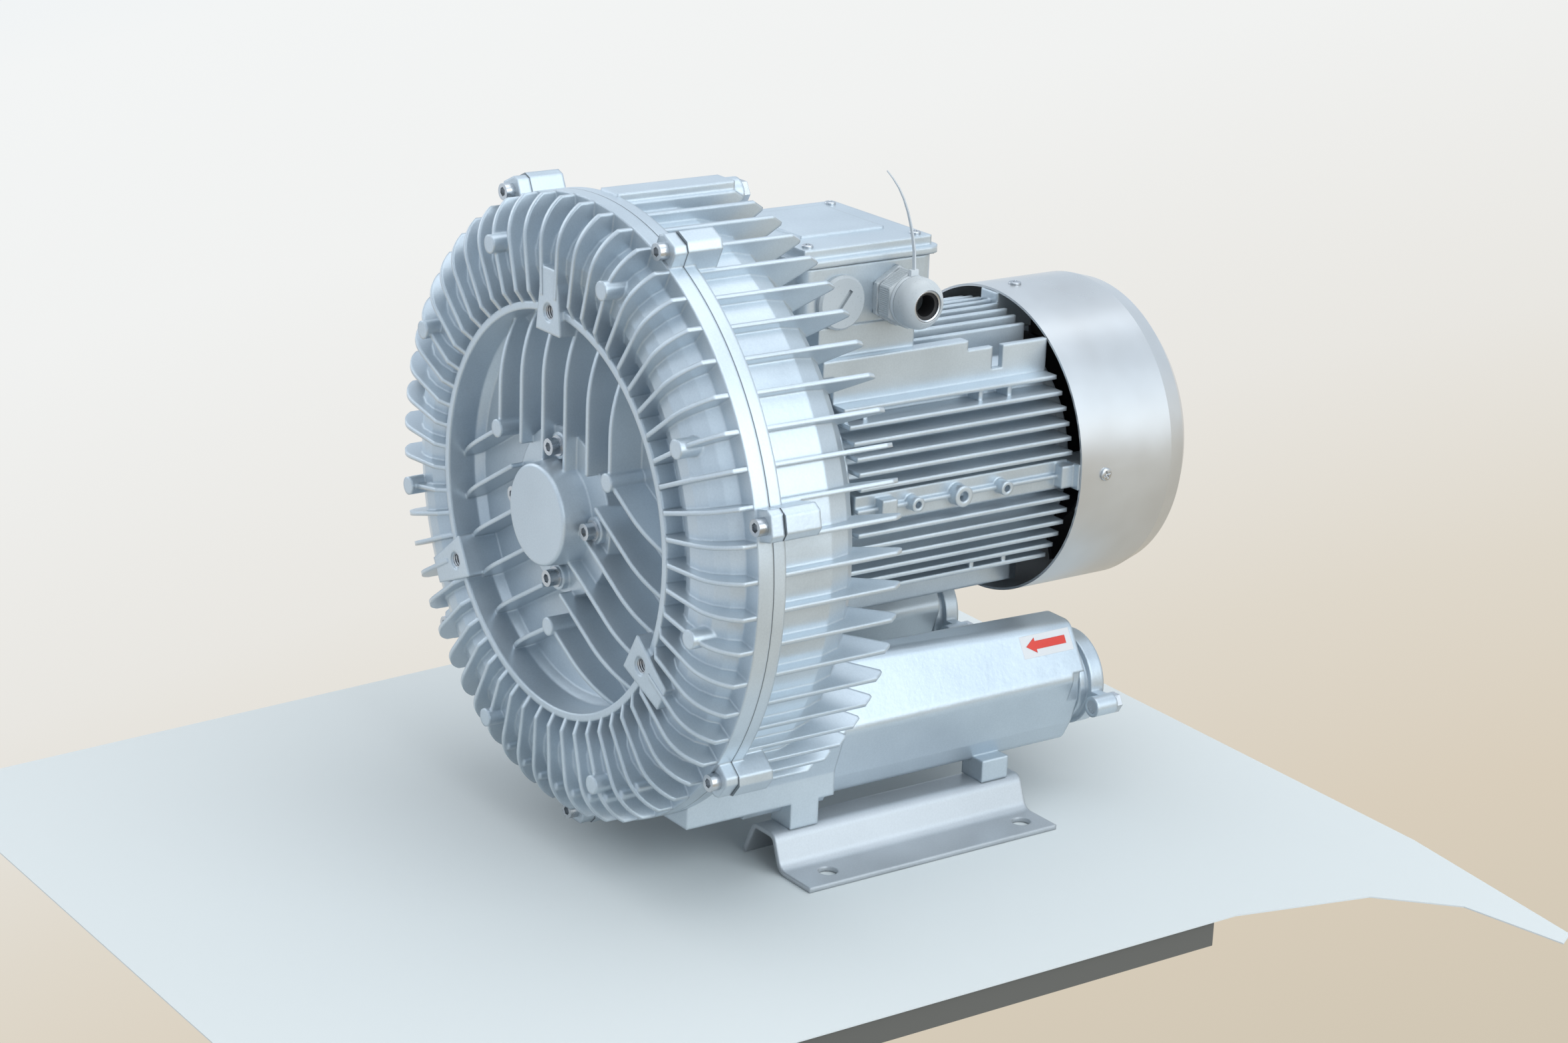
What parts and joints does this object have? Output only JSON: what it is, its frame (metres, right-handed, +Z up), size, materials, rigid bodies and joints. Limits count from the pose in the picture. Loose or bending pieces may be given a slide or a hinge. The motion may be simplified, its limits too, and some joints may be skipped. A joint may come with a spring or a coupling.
{
  "type": "side channel blower",
  "caption": "Side channel blower: finned round casing with an open bowl cover, finned motor with terminal box and fan cowl, two silencers and pressed feet.",
  "frame": {"origin": "on the floor plane, in the middle of the four foot holes", "axes": "+Z up; +Y along the motor axis from the blower cover to the fan cowl; +X to the side of the cable gland"},
  "size_m": [0.3902, 0.4247, 0.4085],
  "materials": {
    "silver_paint": "satin metallic",
    "painted_steel": "satin metallic",
    "cowl_paint": "satin metallic",
    "zinc_steel": "zinc plated",
    "ground_steel": "ground",
    "bare_aluminium": "cast",
    "lamination_steel": "matte",
    "copper_winding": "varnished",
    "grey_nylon": "matte",
    "tie_nylon": "matte",
    "black_rubber": "matte",
    "black_plastic": "matte",
    "brown_plastic": "moulded",
    "brass": "bright",
    "grey_foam": "open cell"
  },
  "bodies": {
    "stator": {"front_cover": "silver_paint", "blower_housing": "silver_paint", "motor_frame": "silver_paint", "rear_shield": "silver_paint", "terminal_box": "silver_paint", "terminal_lid": "silver_paint", "silencer_right": "silver_paint", "silencer_left": "silver_paint", "port_flange_right": "silver_paint", "port_flange_left": "silver_paint", "foot_right": "painted_steel", "foot_left": "painted_steel", "fan_cowl": "cowl_paint", "lifting_thread_plug": "zinc_steel", "flange_screws": "zinc_steel", "bearing_cap_screws": "zinc_steel", "bearing_cap_washers": "zinc_steel", "cowl_screws": "zinc_steel", "lid_screws": "zinc_steel", "foot_bolts": "zinc_steel", "port_bolts": "zinc_steel", "front_bearing_outer_ring": "ground_steel", "drive_bearing_outer_ring": "ground_steel", "rear_bearing_outer_ring": "ground_steel", "bearing_cap": "bare_aluminium", "stator_core": "lamination_steel", "stator_winding_front": "copper_winding", "stator_winding_rear": "copper_winding", "gland_body": "grey_nylon", "gland_dome_nut": "grey_nylon", "blanking_plug": "grey_nylon", "cable_tie": "tie_nylon", "gland_seal": "black_rubber", "lid_gasket": "black_rubber", "shaft_seal": "black_rubber", "terminal_board": "brown_plastic", "terminal_studs": "brass", "liner_right": "grey_foam", "liner_left": "grey_foam"},
    "rotor": {"shaft": "ground_steel", "impeller": "bare_aluminium", "impeller_nut": "zinc_steel", "rotor_core": "lamination_steel", "rotor_end_ring_front": "bare_aluminium", "rotor_end_ring_rear": "bare_aluminium", "front_bearing_inner_ring": "ground_steel", "drive_bearing_inner_ring": "ground_steel", "rear_bearing_inner_ring": "ground_steel", "cooling_fan": "black_plastic", "fan_circlip": "zinc_steel"},
    "front_cage": {"front_bearing_balls": "ground_steel"},
    "drive_cage": {"drive_bearing_balls": "ground_steel"},
    "rear_cage": {"rear_bearing_balls": "ground_steel"}
  },
  "joints": [
    {"name": "rotor_spin", "type": "hinge", "parent": "stator", "child": "rotor", "pos_m": [0, -0.1657, 0.21], "axis": [0, 1, 0], "continuous": true},
    {"name": "front_cage_spin", "type": "hinge", "parent": "stator", "child": "front_cage", "pos_m": [0, -0.1657, 0.21], "axis": [0, 1, 0], "continuous": true},
    {"name": "drive_cage_spin", "type": "hinge", "parent": "stator", "child": "drive_cage", "pos_m": [0, -0.1657, 0.21], "axis": [0, 1, 0], "continuous": true},
    {"name": "rear_cage_spin", "type": "hinge", "parent": "stator", "child": "rear_cage", "pos_m": [0, -0.1657, 0.21], "axis": [0, 1, 0], "continuous": true}
  ],
  "couplings": [
    {"joint": "front_cage_spin", "follows": "rotor_spin", "ratio": 0.394},
    {"joint": "drive_cage_spin", "follows": "rotor_spin", "ratio": 0.384},
    {"joint": "rear_cage_spin", "follows": "rotor_spin", "ratio": 0.394}
  ]
}
